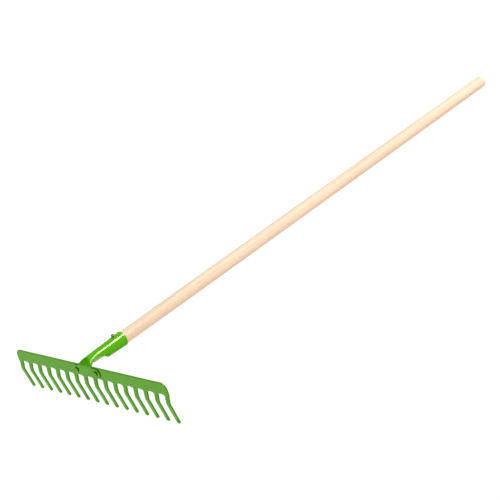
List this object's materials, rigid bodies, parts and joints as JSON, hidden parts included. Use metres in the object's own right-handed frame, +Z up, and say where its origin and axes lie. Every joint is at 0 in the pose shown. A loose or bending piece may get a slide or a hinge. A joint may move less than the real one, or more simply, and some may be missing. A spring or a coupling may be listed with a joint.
{
  "type": "garden rake",
  "caption": "Garden rake: bent sheet-steel comb head riveted to a pressed socket on a long round wooden handle, for levelling soil and gathering leaves and debris.",
  "frame": {"origin": "on the ground, midway along the rake and midway along its head, with the rake lying on its tine tips and on the free end of its handle", "axes": "+X along the head to its right-hand end seen from the tines' front, +Y from the head towards the free end of the handle, +Z up"},
  "size_m": [0.409, 1.2128, 0.0966],
  "materials": {
    "green_paint": "glossy baked enamel",
    "ash_wood": "turned and sanded, clear matt lacquer",
    "screw_steel": "bright zinc plated"
  },
  "bodies": {
    "root": {"rake_head": "green_paint", "handle_socket": "green_paint", "rivet_left": "green_paint", "rivet_right": "green_paint", "handle": "ash_wood", "socket_screw": "screw_steel"}
  },
  "joints": []
}
